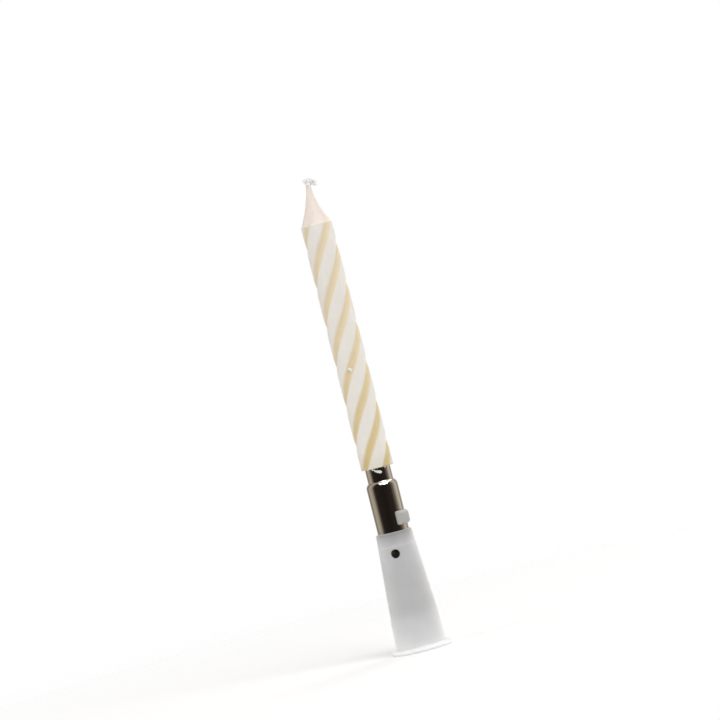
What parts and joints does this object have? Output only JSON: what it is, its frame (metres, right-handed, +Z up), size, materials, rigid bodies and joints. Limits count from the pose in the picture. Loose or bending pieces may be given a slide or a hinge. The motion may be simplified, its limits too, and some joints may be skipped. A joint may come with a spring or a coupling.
{
  "type": "musical birthday candle",
  "caption": "Twisted white and cream candle in a plated ferrule, over a flared milky base that plays a tune through a sound hole when its side button is pressed.",
  "frame": {"origin": "centre of the flange's underside, on the candle's axis", "axes": "+Z up the candle, -Y towards the front, where the sound hole is, and +X to its right"},
  "size_m": [0.0164, 0.0162, 0.1292],
  "materials": {
    "wax": "white wax with cream grooves",
    "wick_cotton": "frayed white cotton",
    "plated_metal": "bright plating",
    "milky_plastic": "milky, slightly translucent",
    "spring_brass": "bare strip",
    "board_laminate": "brown laminate",
    "black_resin": "black resin drop",
    "chip_ceramic": "black film on ceramic",
    "black_plastic": "moulded",
    "cell_steel": "plated steel can",
    "spring_steel": "drawn wire",
    "sounder_ceramic": "silvered ceramic",
    "red_insulation": "insulated wire",
    "black_insulation": "insulated wire"
  },
  "bodies": {
    "candle_body": {"candle_wax": "wax", "wick": "wick_cotton", "ferrule": "plated_metal", "base_cone": "milky_plastic", "bottom_cap": "milky_plastic", "switch_blade": "spring_brass", "contact_stud": "spring_brass", "earth_clip": "spring_brass", "positive_contact": "spring_brass", "piezo_plate": "spring_brass", "circuit_board": "board_laminate", "melody_chip": "black_resin", "timing_resistor": "chip_ceramic", "carrier": "black_plastic", "lower_cell": "cell_steel", "upper_cell": "cell_steel", "negative_spring": "spring_steel", "piezo_ceramic": "sounder_ceramic", "red_lead": "red_insulation", "black_lead": "black_insulation"},
    "button": {"push_button": "milky_plastic"}
  },
  "joints": [
    {"name": "button_press", "type": "slide", "parent": "candle_body", "child": "button", "axis": [-0.7431, 0.6691, 0], "range_m": [0, 0.0007], "stiffness_N_per_m": 600, "deforming": ["switch_blade"]}
  ]
}
